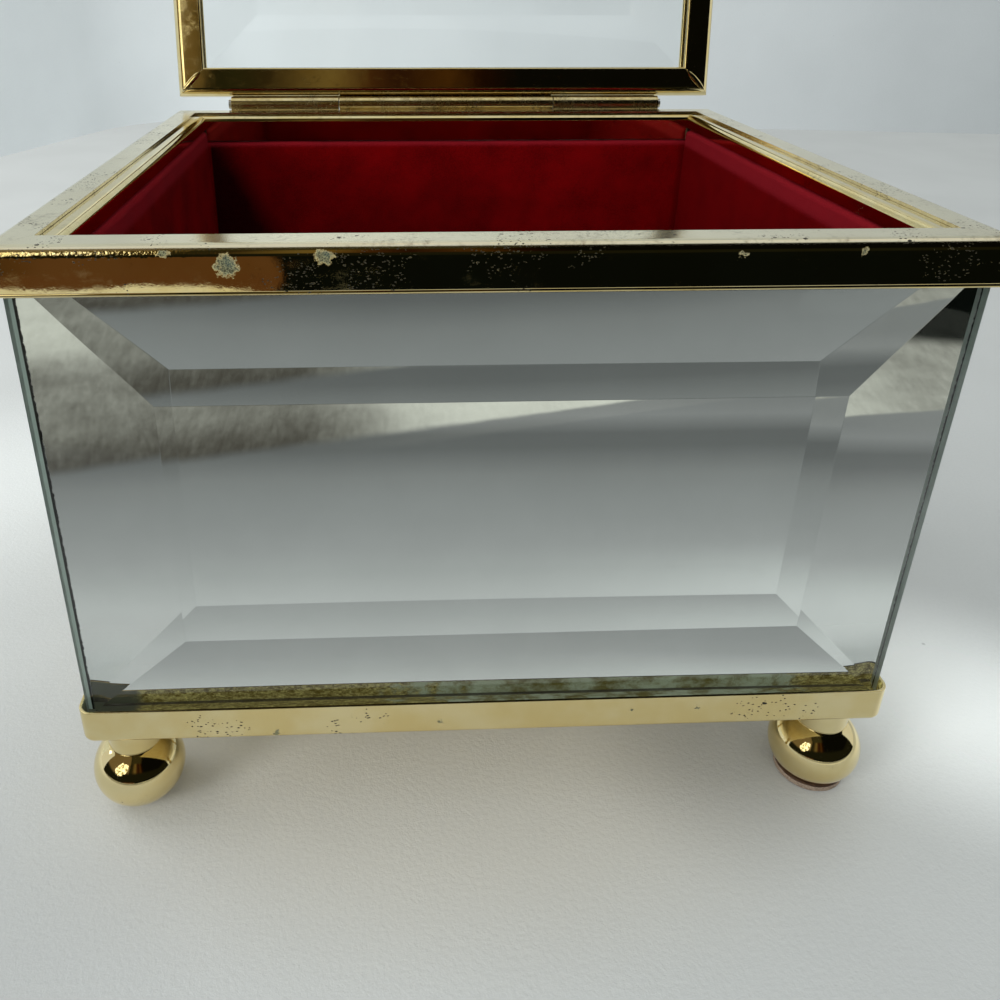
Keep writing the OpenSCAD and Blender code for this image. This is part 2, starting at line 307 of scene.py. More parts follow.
def stage_piece(name, bm, material, seen_by):
    """Makes a mesh part of the stage, seen only by some kinds of ray."""
    for face in bm.faces:
        face.smooth = True
    mesh = bpy.data.meshes.new(name)
    bm.to_mesh(mesh)
    bm.free()
    mesh.materials.append(material)
    made = bpy.data.objects.new(name, mesh)
    link(made)
    for ray in ALL_RAYS:
        setattr(made, f"visible_{ray}", ray in seen_by)
    made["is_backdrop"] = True


def level_sheet(name, low, high, height, material, seen_by=ALL_RAYS):
    """A flat level sheet between two corners (x, y), in millimetres."""
    corners = (low, (high[0], low[1]), high, (low[0], high[1]))
    bm = bmesh.new()
    bm.faces.new([bm.verts.new(Vector((*corner, height)) * MM) for corner in corners])
    stage_piece(name, bm, material, seen_by)


def upright_line(start, *corners):
    """A line drawn on the floor through corners (x, y), to be pulled up into a wall."""
    bm = bmesh.new()
    tip = bm.verts.new(Vector((*start, 0)) * MM)
    for corner in corners:
        tip = drawn_on(bm, tip, Vector((*corner, 0)) * MM)
    return bm


def paper(name, shade, shade_far_right, patches=(), painted_warmth=None):
    """Paper painted darker towards the far right, for shade, down to the share shade_far_right.

    Patches of painted light and shadow are (x, y, radius, share). Where painted_warmth (x, y,
    radius) lies, the colour is painted warmer, for light thrown by brass, twice as wide as it is deep.
    """
    finish = Finish(name)
    place = finish.place()
    x, y, z = finish.axes(place)
    tooth = finish.grain(place, 0.7, 4, 0.7)
    cloud = finish.grain(place, 60, 3)
    flecks = finish.specks(place, 9).rise(0.02, 0.05, 1, 0) * cloud.rise(0.5, 0.7)
    tone = (tooth * 0.4 + cloud * 0.6).rise(0.3, 0.7, 0.96, 1.03)
    # Painted shade: the colour darkens towards the far right.
    tone = tone * (x + y * 0.3).rise(0, 620, 1, shade_far_right) * (1 - flecks * 0.25)
    # Each patch paints light or shadow into the colour.
    for across, along, radius, share in patches:
        near = finish.nearness(finish.stretched(place, 1, 1, 0), [(across, along, 0, radius)])
        tone = tone * near.rise(0, 0.9, 1, share)
    colour = finish.scaled(shade, tone)
    # Painted warm light, where the brass tray throws it.
    if painted_warmth:
        across, along, radius = painted_warmth
        near = finish.nearness(finish.stretched(place, 0.5, 1, 0), [(across / 2, along, 0, radius)])
        colour = finish.mix(near.rise(0, 0.7), colour, finish.stretched(colour, 1.03, 0.985, 0.92))
    return finish.surface(Base_Color=colour, Roughness=0.8, Specular_IOR_Level=0.2,
                          Normal=finish.bump(tooth, 0.08))


REACH = 3000
# Painted light and shadow on the floor, (x, y, radius, share): lighter where the side mirrors throw
# light back, darker in shade by the feet and in front.
PAINTED_LIGHT_AND_SHADOW = [(-104, 36, 60, 1.26), (80, -42, 34, 1.8), (-68, -78, 60, 0.78), (38, -50, 26, 0.70),
             (-42, -53, 9, 0.88), (60, -110, 60, 0.92)]
floor_paper = paper("floor_paper", (0.60, 0.62, 0.61), 0.95, PAINTED_LIGHT_AND_SHADOW, painted_warmth=(-4, -56, 34))
level_sheet("floor", (-REACH, -REACH), (REACH, REACH), 0, floor_paper)
WALL_H, WALL_CORNER = 1200, 80
MEETING_X = -197
bm = upright_line((-420, 60), (-257, 438), (MEETING_X, 614), (280, 537), (900, 435))
pull(bm, bm.edges[:], (0, 0, WALL_H * MM))
corner = [e for e in bm.edges if all(abs(v.co.x / MM - MEETING_X) < 0.1 for v in e.verts)]
round_over(bm, corner, WALL_CORNER * MM, 16)
# The walls are painted darker towards the right, for shade.
stage_piece("walls", bm, paper("wall_paper", (0.825, 0.87, 0.885), 0.72),
            ("camera", "glossy", "transmission"))

# %% [markdown]
# Polished things are mostly a picture of their surroundings, so these need some. In front of
# the casket the paper falls off into painted shade, and past its edge lies something rough and
# ivory, painted lit to the right and shaded near its edge. Behind that stands a tall card, brown
# beside black and painted in shade higher up, with a bright painted glow far to the left, standing
# for a window, that the balls show as a spot. These sheets are shown only to rays that have
# bounced off something glossy, so they never stand in the picture themselves, and they light nothing.

# %% What the mirrors look at
def shown_in_mirrors(finish, colour, share=1):
    """A glow that is only seen by way of something glossy, and that lights nothing."""
    bounced = finish.node("ShaderNodeLightPath", output="Glossy Depth").rise(0.2, 0.8)
    lighting = finish.node("ShaderNodeLightPath", output="Diffuse Depth").rise(0.2, 0.8)
    glow = finish.node("ShaderNodeEmission", sockets={"Color": colour})
    clear = finish.node("ShaderNodeBsdfTransparent")
    shown = bounced * (1 - lighting) * share
    both = finish.node("ShaderNodeMixShader", sockets={0: shown, 1: clear, 2: glow})
    finish.tree.links.new(both.socket, finish.output.inputs["Surface"])
    return finish.material


def table_top():
    """The paper and the rough ivory beyond it, by their distance from the glass. The paper is painted
    falling off into shade and painted lighter near the glass on the right; the ivory is painted lit to
    the right and shaded near its edge.
    """
    finish = Finish("table_top")
    place = finish.place()
    x, y, z = finish.axes(place)
    far = FRONT_GLASS - y
    ruffle = (finish.grain(place, 12, 3, 0.6) - 0.5) * 2
    # Painted shade: the paper darkens with its distance from the glass.
    painted_falloff = finish.node("ShaderNodeValToRGB", {"stops": [
        (0.0, (0.56, 0.57, 0.56)), (0.12, (0.53, 0.55, 0.54)), (0.20, (0.43, 0.45, 0.44)),
        (0.28, (0.365, 0.38, 0.375)), (0.37, (0.32, 0.335, 0.33)), (0.46, (0.29, 0.305, 0.30)),
        (0.56, (0.25, 0.262, 0.256)), (0.69, (0.15, 0.158, 0.155)), (0.76, (0.142, 0.15, 0.147)),
        (0.86, (0.27, 0.28, 0.275)), (0.94, (0.235, 0.245, 0.24))]}, {0: (far - 30) / 100})
    # Painted light on the paper near the glass, on the right.
    painted_light_right = far.rise(60, 40) * x.rise(0, 70) * 0.5
    sheet = finish.mix(painted_light_right, painted_falloff, (0.78, 0.82, 0.80))
    edge = far - x * 0.25 - 110.3 + ruffle
    folds = finish.grain(place, 16, 3, 0.6) - 0.5
    weave = finish.grain(finish.stretched(place, 1, 0.2, 1), 1.6, 4, 0.65) - 0.5
    # Painted light and shade on the ivory: lit to the right, shaded near its edge.
    lit = x.rise(-40, 14)
    shaded = edge.rise(0, 26, 0.02, 0.30) + far.rise(150, 190) * 0.5
    bright = 0.88 - x.rise(55, 97) * 0.45
    light = shaded * (1 - lit) + bright * lit + folds * 0.35 + weave * 0.3
    ivory = finish.mix(light.rise(-0.12, 1.12), (0.055, 0.048, 0.036), (0.80, 0.81, 0.71))
    colour = finish.mix((edge / x.rise(40, -40, 1.5, 5)).rise(-0.5, 0.8), sheet, ivory)
    bulge = ((x + 97) / 45) ** 2
    ivory_end = (234 - bulge * 18).most(214 - (x + 50) * 0.16)
    over = finish.mix((x + 52).rise(-1, 1), (0.10, 0.045, 0.018), (0.003, 0.004, 0.003))
    ended = ((far - ivory_end) / x.rise(60, 100, 1, 7)).rise(-1, 1)
    colour = finish.mix(ended.most(x.rise(220, 226)), colour, over)
    return shown_in_mirrors(finish, colour, far.rise(26, 36))


def tall_card():
    """Low down brown beside black, higher up painted in shade, and a bright painted glow to the left
    that stands for a window.
    """
    finish = Finish("tall_card")
    place = finish.place()
    x, y, z = finish.axes(place)
    brown = finish.mix((x + 170).rise(-30, 30), (0.02, 0.017, 0.006), (0.10, 0.047, 0.018))
    low = finish.mix((x + 52 + z * 0.4).rise(-1, 1), brown, (0.003, 0.004, 0.003))
    high = finish.node("ShaderNodeValToRGB", {"stops": [
        (0.0, (0.16, 0.12, 0.06)), (0.095, (0.12, 0.085, 0.035)), (0.115, (0.012, 0.012, 0.005)),
        (0.18, (0.020, 0.020, 0.008)), (0.27, (0.026, 0.018, 0.007)), (0.36, (0.10, 0.07, 0.024)),
        (0.43, (0.14, 0.10, 0.034)), (0.52, (0.05, 0.02, 0.006)), (0.60, (0.02, 0.007, 0.003)),
        (0.726, (0.055, 0.024, 0.005)), (0.80, (0.012, 0.004, 0.001)),
        (0.90, (0.003, 0.003, 0.002))]}, {0: (x + 140) / 230})
    # Painted shade over the card above its lowest strip.
    colour = finish.mix(z.rise(8, 20), low, (0.010, 0.010, 0.005))
    colour = finish.mix(z.rise(110, 160), colour, high)
    middle = x.rise(-120, -80) * x.rise(70, 30)
    colour = finish.mix(z.rise(300, 340) * middle, colour, (0.035, 0.03, 0.012))
    blots = finish.grain(place, 45, 4, 0.6)
    # The window glow is painted light, seen only in the mirrors.
    window_glow = finish.nearness(finish.stretched(place, 1, 0, 1), [(-262, 0, 215, 130)])
    bright = finish.mix(blots.rise(0.42, 0.58), (0.45, 0.40, 0.20), (2.4, 2.3, 1.9))
    colour = finish.mix((window_glow + (blots - 0.5) * 0.5).rise(0, 0.1), colour, bright)
    return shown_in_mirrors(finish, colour)


NEAR_Y, CARD_Y, WING_Y, CARD_X, ABOVE_PAPER = FRONT_GLASS - 25, -311, -100, 400, 0.4
IN_MIRRORS = ("glossy", "transmission")
level_sheet("table_top", (-CARD_X, CARD_Y), (CARD_X, NEAR_Y), ABOVE_PAPER, table_top(), IN_MIRRORS)
bm = upright_line((-CARD_X, WING_Y), (-CARD_X, CARD_Y), (CARD_X, CARD_Y), (CARD_X, WING_Y))
for rise, lean in ((330, 0), (120, 150)):
    crest = max(v.co.z for v in bm.verts) - 1e-6
    top = [e for e in bm.edges if len(e.link_faces) < 2 and all(v.co.z > crest for v in e.verts)]
    pull(bm, top, Vector((0, lean, rise)) * MM)
stage_piece("tall_card", bm, tall_card(), IN_MIRRORS)

# %% [markdown]
# The room gives an even, slightly cool light. One big soft lamp stands for the window, high to
# the left and a little behind, so the shadows fall to the front and to the right. Two weak lamps
# in front stand for light that the room throws back. Polished things don't show those two.

# %% Light
room = bpy.data.worlds.new("room")
room.use_nodes = True
room.node_tree.nodes["Background"].inputs["Color"].default_value = (0.80, 0.83, 0.83, 1)
room.node_tree.nodes["Background"].inputs["Strength"].default_value = 0.84
bpy.context.scene.world = room
bpy.context.scene.view_settings.view_transform = "Standard"


def soft_lamp(name, place, aim, size, power, shows=True):
    lamp = bpy.data.lights.new(name, "AREA")
    lamp.size = size * MM
    lamp.energy = power
    made = bpy.data.objects.new(name, lamp)
    made.location = Vector(place) * MM
    made.rotation_euler = (Vector(place) - Vector(aim)).to_track_quat("Z", "Y").to_euler()
    made.visible_glossy = made.visible_transmission = shows
    link(made)


soft_lamp("window", (-700, 250, 650), (0, 0, 30), 600, 2.9)
soft_lamp("low_fill", (-520, -420, 230), (0, -70, 0), 220, 2.2, shows=False)
soft_lamp("front_fill", (40, -650, 330), (0, -120, 0), 500, 0.8, shows=False)
print("stage ready")

# %% [markdown]
# Plate glass is clear with a breath of green. Its thickness does the work: a ray bends on the
# way in, comes back from the silver behind, and bends again on the way out, so each bevel shows
# twice. Roughness stays at nearly nothing, because the faces are polished.

# %% Glass and silver
def plate_glass(name, tint):
    finish = Finish(name)
    return finish.surface(Base_Color=tint, Roughness=0.0, IOR=1.52, Transmission_Weight=1.0)


pane_glass = plate_glass("pane_glass", (0.93, 0.965, 0.95))
lid_glass = plate_glass("lid_glass", (0.975, 0.99, 0.985))

# %% [markdown]
# The silver film lies on the back of each pane. At one end it was cut back a little, so a margin
# of grey-green paint shows through the glass there. Damp has eaten the film's own edge away in a
# ragged black line. The margin gives off a breath of light, for what seeps in at the pane's end.

# %% Silvering
EATEN = 0.36
MARGIN = 0.55


def silvering(name, low, high, across):
    """Silver on a pane that runs from low to high across and from the tray to the rim."""
    finish = Finish(name)
    place = finish.place()
    axes = finish.axes(place)
    along, up = axes[across], axes[2]
    ragged = (finish.grain(place, 0.8, 5, 0.75) - 0.5) * 0.75
    near_end, far_end = along - low[across] - MARGIN, high[across] - along + 0.12
    edge = near_end.least(far_end).least(up - low.z + 0.9).least(high.z + 0.9 - up) + ragged
    sound = edge.rise(EATEN - 0.06, EATEN + 0.06)
    cloud = finish.grain(place, 14, 4, 0.6).rise(0.3, 0.75)
    silver = finish.mix(cloud, (0.80, 0.81, 0.80), (0.84, 0.85, 0.84))
    margin = near_end.rise(0.02, -0.06)
    bare = finish.mix(margin, (0.008, 0.009, 0.008), (0.62, 0.72, 0.66))
    colour = finish.mix(sound, bare, silver)
    seeping = finish.mix(margin, (0, 0, 0), (0.060, 0.078, 0.068))
    return finish.surface(Base_Color=colour, Metallic=sound, Roughness=0.5 - sound * 0.485,
                          Emission_Color=seeping, Emission_Strength=1.0)


def ground_edge():
    """The pane's ground ends: grey-green, dull, with a fine grind across them."""
    finish = Finish("ground_edge")
    place = finish.place()
    patches = finish.grain(place, 5, 4, 0.6)
    grind = finish.grain(finish.stretched(place, 1, 1, 0.15), 0.12, 2)
    shade = (patches * 0.7 + grind * 0.3).rise(0.3, 0.7)
    colour = finish.mix(shade, (0.45, 0.54, 0.49), (0.72, 0.82, 0.76))
    return finish.surface(Base_Color=colour, Roughness=0.45, IOR=1.52,
                          Normal=finish.bump(grind, 0.02))


ground = ground_edge()
print("glass ready")

# %% [markdown]
# The brass has a thin pale gilding, worn by years of hands. Every brass part shares one recipe:
# a pale gold metal whose colour drifts a little, fine dulling that varies in patches, pinholes
# where the plating has failed, and green crust around the worst of them. Each part only says
# how much of each it has. A pinhole opens wherever the distance to the nearest of many scattered
# points is less than a radius, and that radius grows where the plating is worst.

# %% Gilt brass
GOLD = (0.80, 0.64, 0.30)
PALE_GOLD = (0.86, 0.73, 0.41)
CHAMPAGNE = (0.92, 0.86, 0.68)
TARNISH = (0.16, 0.11, 0.04)
PIT = (0.018, 0.015, 0.008)


def gilt(name, pale=0.0, pits=0.3, pit_size=1.0, tarnish=0.2, dull=0.10, waves=0.3, haze=0.0,
         dented=0.0, crust=(), pitted=()):
    """Gilt brass. Crust and pitted say where: (x, y, z, radius) in millimetres."""
    finish = Finish(name)
    place = finish.place()
    drift = finish.grain(place, 9, 3, 0.6)
    fine = finish.grain(place, 0.7, 4, 0.65)
    gold = finish.mix(drift.rise(0.35, 0.65), GOLD, PALE_GOLD)
    gold = finish.mix(pale, gold, CHAMPAGNE)
    stain = (finish.grain(place, 5, 6, 0.7) * 0.6 + fine * 0.4).rise(0.62 - 0.25 * tarnish, 0.80)
    stained = finish.mix(stain * min(1, tarnish * 2.5), gold, TARNISH)
    cluster = finish.grain(place, 7, 3).rise(0.66 - 0.3 * pits, 0.80 - 0.2 * pits) * min(1, pits * 3)
    if pitted:
        scattered = finish.grain(place, 1.5, 2)
        cluster = cluster.most((finish.nearness(place, pitted) + (scattered - 0.5) * 2.5).rise(0, 0.6))
    torn = finish.shaken(finish.stretched(place, 0.7, 1, 1.3), 0.2, 0.2)
    worst = cluster.rise(0.2, 0.8)
    small = worst * 0.26 - finish.specks(torn, 0.33 * pit_size)
    large = worst * 0.15 - finish.specks(torn, 1.2 * pit_size)
    holes = small.most(large).rise(0, 0.02)
    hazy = finish.grain(finish.stretched(place, 0.6, 1, 1), 2.2, 6, 0.75).rise(0.48, 0.75) * haze
    colour = finish.mix(holes, stained, PIT)
    roughness = dull + drift * 0.02 + stain * 0.25 * tarnish + holes.rise(0.8, 1) * 0.6 + hazy * 0.35
    metal = 1 - holes
    relief = finish.grain(place, 6, 2) * (0.5 * waves) + fine * 0.02
    if dented:
        x, y, z = finish.axes(place)
        bend = z.rise(RIM_TOP - 1.3, RIM_TOP - 0.9) * x.rise(-26, -40)
        relief = relief + (finish.grain(place, 0.5, 3) - 0.5) * bend * dented
    if crust:
        ragged = finish.shaken(place, 0.6, 0.8)
        uneven = (finish.grain(place, 0.7, 4, 0.7) - 0.5) * 1.5
        green = (finish.nearness(ragged, crust) + uneven).rise(0.0, 0.35)
        rings = finish.node("ShaderNodeTexVoronoi", {"feature": "DISTANCE_TO_EDGE"},
                            {"Vector": ragged, "Scale": 1 / 0.27}, "Distance").rise(0.02, 0.16, 1, 0)
        teal = finish.mix(finish.nearness(place, crust).rise(0.3, 0.9), (0.05, 0.048, 0.022),
                          (0.03, 0.055, 0.048))
        colour = finish.mix(green, colour, finish.mix(rings, teal, (0.23, 0.23, 0.12)))
        roughness = roughness + green * 0.5
        metal = metal * (1 - green)
        relief = relief + green * rings * 0.2
    return finish.surface(Base_Color=colour, Metallic=metal, Roughness=roughness,
                          Normal=finish.bump(relief, 0.08))


def marks(y, *places):
    """Spots on an upright face, from (x, depth below the rim, radius)."""
    return [(x, MIDDLE.y + y, RIM_TOP - below, radius) for x, below, radius in places]


BAND_FACE, TRAY_FACE = -DEPTH / 2, span("base_tray")[0].y - MIDDLE.y
BAND_CRUST = marks(BAND_FACE, (-28.8, 1.7, 1.4), (-18.8, 0.9, 1.1), (-35.1, 0.1, 0.9),
                   (24.5, 1.0, 0.6), (37.4, 0.9, 0.6))
BAND_PITS = marks(BAND_FACE, (-50, 0.2, 3), (-43, 0.3, 3), (-22, 4.5, 4), (-14, 2, 5), (-3, 0, 4),
                  (8, 0, 3), (46, 2, 4))
TRAY_CRUST = marks(TRAY_FACE, (-6.2, 64.9, 0.7), (-27.8, 65.9, 0.75), (28.1, 63.6, 0.6),
                   (19.5, 63.9, 0.5))
TRAY_PITS = marks(TRAY_FACE, (-37.5, 65, 2.8), (-34, 65.5, 2.6), (-16, 64, 2.6), (-20, 65.5, 2),
                  (35, 64.5, 3), (39, 64, 3.2), (43, 65, 2))
band_gilt = gilt("band_gilt", pits=0.3, tarnish=0.3, dull=0.012, waves=0.2, haze=0.25, dented=0.8,
                 crust=BAND_CRUST, pitted=BAND_PITS)
flange_gilt = gilt("flange_gilt", pale=0.65, pits=0.75, tarnish=0.5, dull=0.16)
trim_gilt = gilt("trim_gilt", pits=0.2, tarnish=0.4, dull=0.06)
tray_gilt = gilt("tray_gilt", pits=0.0, pit_size=1.5, tarnish=0.1, dull=0.18,
                 crust=TRAY_CRUST, pitted=TRAY_PITS)
foot_gilt = gilt("foot_gilt", pits=0.2, tarnish=0.1, dull=0.05, waves=0.15)
lid_gilt = gilt("lid_gilt", pits=0.2, tarnish=0.3, dull=0.04, waves=0.5, haze=0.5)
hinge_gilt = gilt("hinge_gilt", pits=0.45, tarnish=1.0, dull=0.16)


def verdigris(name):
    """Brass out of the polishing wheel's reach, olive and then green with damp.

    A breath of emission stands for the light that seeps down to it through the pane's edge, weaker low
    down, and the far left end is painted darker grey-green, for shadow.
    """
    finish = Finish(name)
    place = finish.place()
    x, y, z = finish.axes(place)
    lumps = finish.grain(place, 3.2, 6, 0.7)
    grit = finish.grain(finish.stretched(place, 0.6, 1, 1), 0.45, 6, 0.85)
    olive = finish.mix(grit.rise(0.42, 0.66), (0.16, 0.115, 0.015), (1.0, 0.90, 0.34))
    bloom = finish.mix(lumps.rise(0.35, 0.6), (0.22, 0.19, 0.05), (0.60, 0.68, 0.48))
    green = (lumps + x.rise(-28, 10, -0.25, 0.25) - x.rise(38, 46) * 0.4).rise(0.42, 0.60)
    # Painted shadow: darker grey-green at the far left end.
    colour = finish.mix(x.rise(-46.3, -47.8), finish.mix(green, olive, bloom), (0.12, 0.13, 0.085))
    # Painted shade in the glow: weaker low down.
    low_down = z.rise(17.2, 16.7, 1, 0.35)
    seeping = finish.mix(low_down * 0.19, (0, 0, 0), colour)
    return finish.surface(Base_Color=colour, Metallic=0.35 - green * 0.3, Roughness=0.3 + green * 0.4,
                          Emission_Color=seeping, Emission_Strength=1.0, Normal=finish.bump(grit, 0.12))


grimy_gilt = verdigris("grimy_gilt")
print("gilt finishes ready")

# %% [markdown]
# Velvet is dark where the pile is looked into and lighter where it is looked across. The
# shader's sheen does that, and two sizes of noise stand for the pile and for the way it has
# been brushed. Felt is the same idea, short and dusty.

# %% Velvet and felt
def pile_cloth(name, deep, light, sheen, sheen_tint, pile, top_colour=(0, 0, 0), corner=None, top=None):
    """Cloth with a pile.

    Near a corner (x, y, z) the wall behind it is painted nearly black, a painted shadow that reaches
    further out lower down. The wall across from that corner is painted a little darker, for shade.
    Above the height top the colour goes over to top_colour, lighter and pinker.
    """
    finish = Finish(name)
    place = finish.place()
    x, y, z = finish.axes(place)
    fibres = finish.grain(place, pile, 3, 0.7)
    brushed = finish.grain(place, 7, 5, 0.6)
    shade = (fibres * 0.55 + brushed * 0.45).rise(0.34, 0.68)
    colour = finish.mix(shade, deep, light)
    if corner:
        # Painted shadow: the wall behind the corner is painted nearly black, wider lower down.
        away = (z * -0.5 + (corner[2] * 0.5 + corner[0] + 2) - x + (brushed - 0.5) * 5).rise(-5, 3)
        facing = y.rise(corner[1] - 1.2, corner[1] - 0.9) * x.rise(corner[0] - 0.2, corner[0] + 0.2)
        colour = finish.mix(away * facing, colour, Vector(deep) * 0.2)
        # Painted shade: the wall across from the corner is painted a little darker.
        colour = finish.mix(x.rise(-corner[0] - 1, -corner[0]) * 0.6, colour, deep)
    if top:
        top_band = (z + (fibres - 0.5) * 1.5).rise(top - 0.8, top + 0.4)
        colour = finish.mix(top_band * 0.6, colour, top_colour)
    return finish.surface(Base_Color=colour, Roughness=0.95, Specular_IOR_Level=0.03,
                          Sheen_Weight=sheen, Sheen_Roughness=0.3, Sheen_Tint=sheen_tint,
                          Normal=finish.bump(fibres * 0.7 + brushed * 0.3, 0.25))


LINING_LOW, LINING_HIGH = span("lining_back")
LEFT_LINING = span("lining_left")[1].x
# The velvet has a painted shadow at the back left corner and painted shade on the right wall.
velvet = pile_cloth("velvet", (0.085, 0.0004, 0.001), (0.20, 0.0010, 0.002), 0.018,
                    (1.0, 0.06, 0.09), 0.18, top_colour=(0.24, 0.012, 0.020),
                    corner=(LEFT_LINING, LINING_LOW.y, LINING_HIGH.z), top=LINING_HIGH.z - 0.6)
felt = pile_cloth("felt", (0.16, 0.118, 0.088), (0.36, 0.285, 0.215), 0.15, (1.0, 0.86, 0.70), 0.25)


def plain(name, dark, light, roughness, size=2.0, metallic=0.0):
    """A dull finish for what hardly shows: two shades, mottled, with a little relief."""
    finish = Finish(name)
    place = finish.place()
    mottle = finish.grain(place, size, 5, 0.65)
    return finish.surface(Base_Color=finish.mix(mottle.rise(0.3, 0.7), dark, light),
                          Roughness=roughness, Metallic=metallic, Normal=finish.bump(mottle, 0.05))


card = plain("card", (0.09, 0.075, 0.06), (0.16, 0.14, 0.115), 0.85)
cement = plain("cement", (0.010, 0.010, 0.009), (0.035, 0.034, 0.030), 0.6, 1.0)
backing = plain("backing_paint", (0.07, 0.065, 0.06), (0.12, 0.11, 0.10), 0.7, 3.0)
steel = plain("steel", (0.45, 0.45, 0.44), (0.60, 0.60, 0.59), 0.3, 0.8, 1.0)
glue = plain("glue", (0.03, 0.015, 0.008), (0.07, 0.035, 0.02), 0.4, 0.6)
print("soft and hidden finishes ready")

# %% [markdown]
# Every new piece ends the same way: its faces are turned outwards, it goes from millimetres to
# metres, edges sharper than a given angle are kept crisp, it is told which body it rides on, and
# the measured pieces that it stands for are hidden.

# %% Finishing a piece
def stretch(bm, by):
    """Scales everything by a factor for each axis."""
    bmesh.ops.scale(bm, vec=by, verts=bm.verts[:])


def face_outwards(bm):
    bmesh.ops.recalc_face_normals(bm, faces=bm.faces[:])


def finish_piece(bm, name, materials, nodes, body="box", crisp=35):
    face_outwards(bm)
    stretch(bm, (MM, MM, MM))
    for face in bm.faces:
        face.smooth = True
    for edge in bm.edges:
        edge.smooth = edge.calc_face_angle(0) < math.radians(crisp)
    mesh = bpy.data.meshes.new(name)
    bm.to_mesh(mesh)
    bm.free()
    for material in materials:
        mesh.materials.append(material)
    piece = bpy.data.objects.new(name, mesh)
    link(piece)
    piece.modifiers.new("flat faces stay flat", "WEIGHTED_NORMAL").keep_sharp = True
    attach(piece, body)
    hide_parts(*nodes)
    return piece


def sharp_edges(bm, angle=50):
    return [e for e in bm.edges if len(e.link_faces) == 2 and e.calc_face_angle() > math.radians(angle)]


def ease(bm, offset, segments=2, angle=50, edges=None):
    """Rounds the sharp edges over a little, as filing and polishing do."""
    round_over(bm, sharp_edges(bm, angle) if edges is None else edges, offset, segments)


print("pieces are finished at", MM, "m to the millimetre")

# %% [markdown]
# Bent sheet is drawn the way it is bent. A point is walked along the sheet's outer face: it
# goes straight for a length, or it is spun round a bend. The line that it leaves is extruded
# along the wall, a little over length, and given the sheet's thickness. Both ends are then cut
# at 45 degrees with a bisecting plane, and the cut is closed, just as a mitred strip is made.

# %% Bending sheet
SPARE = 1


def walk(bm, start, heading, legs, steps=8):
    """Walks a point in the plane x = 0. A leg is a length, or a bend's (radius, angle)."""
    tip = bm.verts.new((0, *start))
    for leg in legs:
        if isinstance(leg, tuple):
            radius, angle = leg
            aside = math.radians(heading + math.copysign(90, angle))
            centre = tip.co + radius * Vector((0, math.cos(aside), math.sin(aside)))
            if radius:
                spun = bmesh.ops.spin(bm, geom=[tip], cent=centre, axis=(1, 0, 0), dvec=(0, 0, 0),
                                      angle=math.radians(angle), use_merge=False,
                                      steps=max(3, round(abs(angle) / 90 * steps)))
                tip = spun["geom_last"][0]
            heading += angle
        else:
            ahead = math.radians(heading)
            tip = drawn_on(bm, tip, tip.co + leg * Vector((0, math.cos(ahead), math.sin(ahead))))


def strip(bm, low, high):
    """Extrudes everything drawn so far along X, from low to high."""
    move(bm, (low, 0, 0))
    pull(bm, bm.edges[:], (high - low, 0, 0))


def thicken(bm, thickness, inside):
    """Gives the sheet its thickness, on the side where the point (y, z) named inside lies."""
    face_outwards(bm)
    face = max(bm.faces, key=lambda f: f.calc_area())
    towards = Vector((0, *inside)) - face.calc_center_median()
    towards.x = 0
    if face.normal.dot(towards) > 0:
        bmesh.ops.reverse_faces(bm, faces=bm.faces[:])
    bmesh.ops.solidify(bm, geom=bm.faces[:], thickness=thickness)


def cut(bm, place, normal, clear=False):
    """Cuts everything along a plane, and clears away what lies beyond it if asked."""
    bmesh.ops.bisect_plane(bm, geom=bm.verts[:] + bm.edges[:] + bm.faces[:], dist=1e-5,
                           plane_co=place, plane_no=normal, clear_outer=clear)


def mitre(bm, length):
    """Cuts both ends at 45 degrees, so that the strip is `length` long on its outer face."""
    for end in (-1, 1):
        cut(bm, (end * length / 2, 0, 0), (end, 1, 0), clear=True)
        bmesh.ops.holes_fill(bm, edges=[e for e in bm.edges if e.is_boundary and
                                        all(abs(abs(v.co.x) + v.co.y - length / 2) < 1e-3 and
                                            v.co.x * end > 0 for v in e.verts)])


def bent_strip(start, heading, legs, sheet, inside, length, easing, segments=2):
    """A length of bent sheet with mitred ends and eased edges, its outer face on y = 0."""
    bm = bmesh.new()
    walk(bm, start, heading, legs)
    strip(bm, -length / 2 - SPARE, length / 2 + SPARE)
    thicken(bm, sheet, inside)
    mitre(bm, length)
    ease(bm, easing, segments)
    return bm


def add(bm, part):
    """Moves a finished bmesh into another."""
    mesh = bpy.data.meshes.new("part")
    part.to_mesh(mesh)
    part.free()
    bm.from_mesh(mesh)
    bpy.data.meshes.remove(mesh)


def bead(bm, y, z, radius, length):
    """Adds a round rolled edge along X, mitred at both ends."""
    half = length / 2 + SPARE
    part = bmesh.new()
    turned = Matrix.Translation((-half, y, z)) @ rotation(90, "Y")
    bmesh.ops.create_circle(part, segments=16, radius=radius, matrix=turned)
    pull(part, part.edges[:], (2 * half, 0, 0))
    mitre(part, length)
    add(bm, part)


print("sheet is bent with", SPARE, "mm to spare at each end")

# %% [markdown]
# Every strip is drawn as if for the front wall, with its outer face on y = 0, then turned to
# its own wall and pushed out to it.

# %% Walls
WALLS = {"front": 0, "back": 180, "left": -90, "right": 90}


def along(side, width, depth):
    """A wall's length, and how far its outer face is from the middle."""
    return (width, depth / 2) if side in FRONT_AND_BACK else (depth, width / 2)


def on_wall(side, reach):
    """Takes a strip from the plane y = 0 to a wall this far from the casket's middle."""
    out = Matrix.Translation((0, -reach, 0))
    return Matrix.Translation(MIDDLE) @ rotation(WALLS[side], "Z") @ out


def turn(bm, matrix):
    bmesh.ops.transform(bm, matrix=matrix, verts=bm.verts[:])


print("walls turned by", WALLS, "degrees")

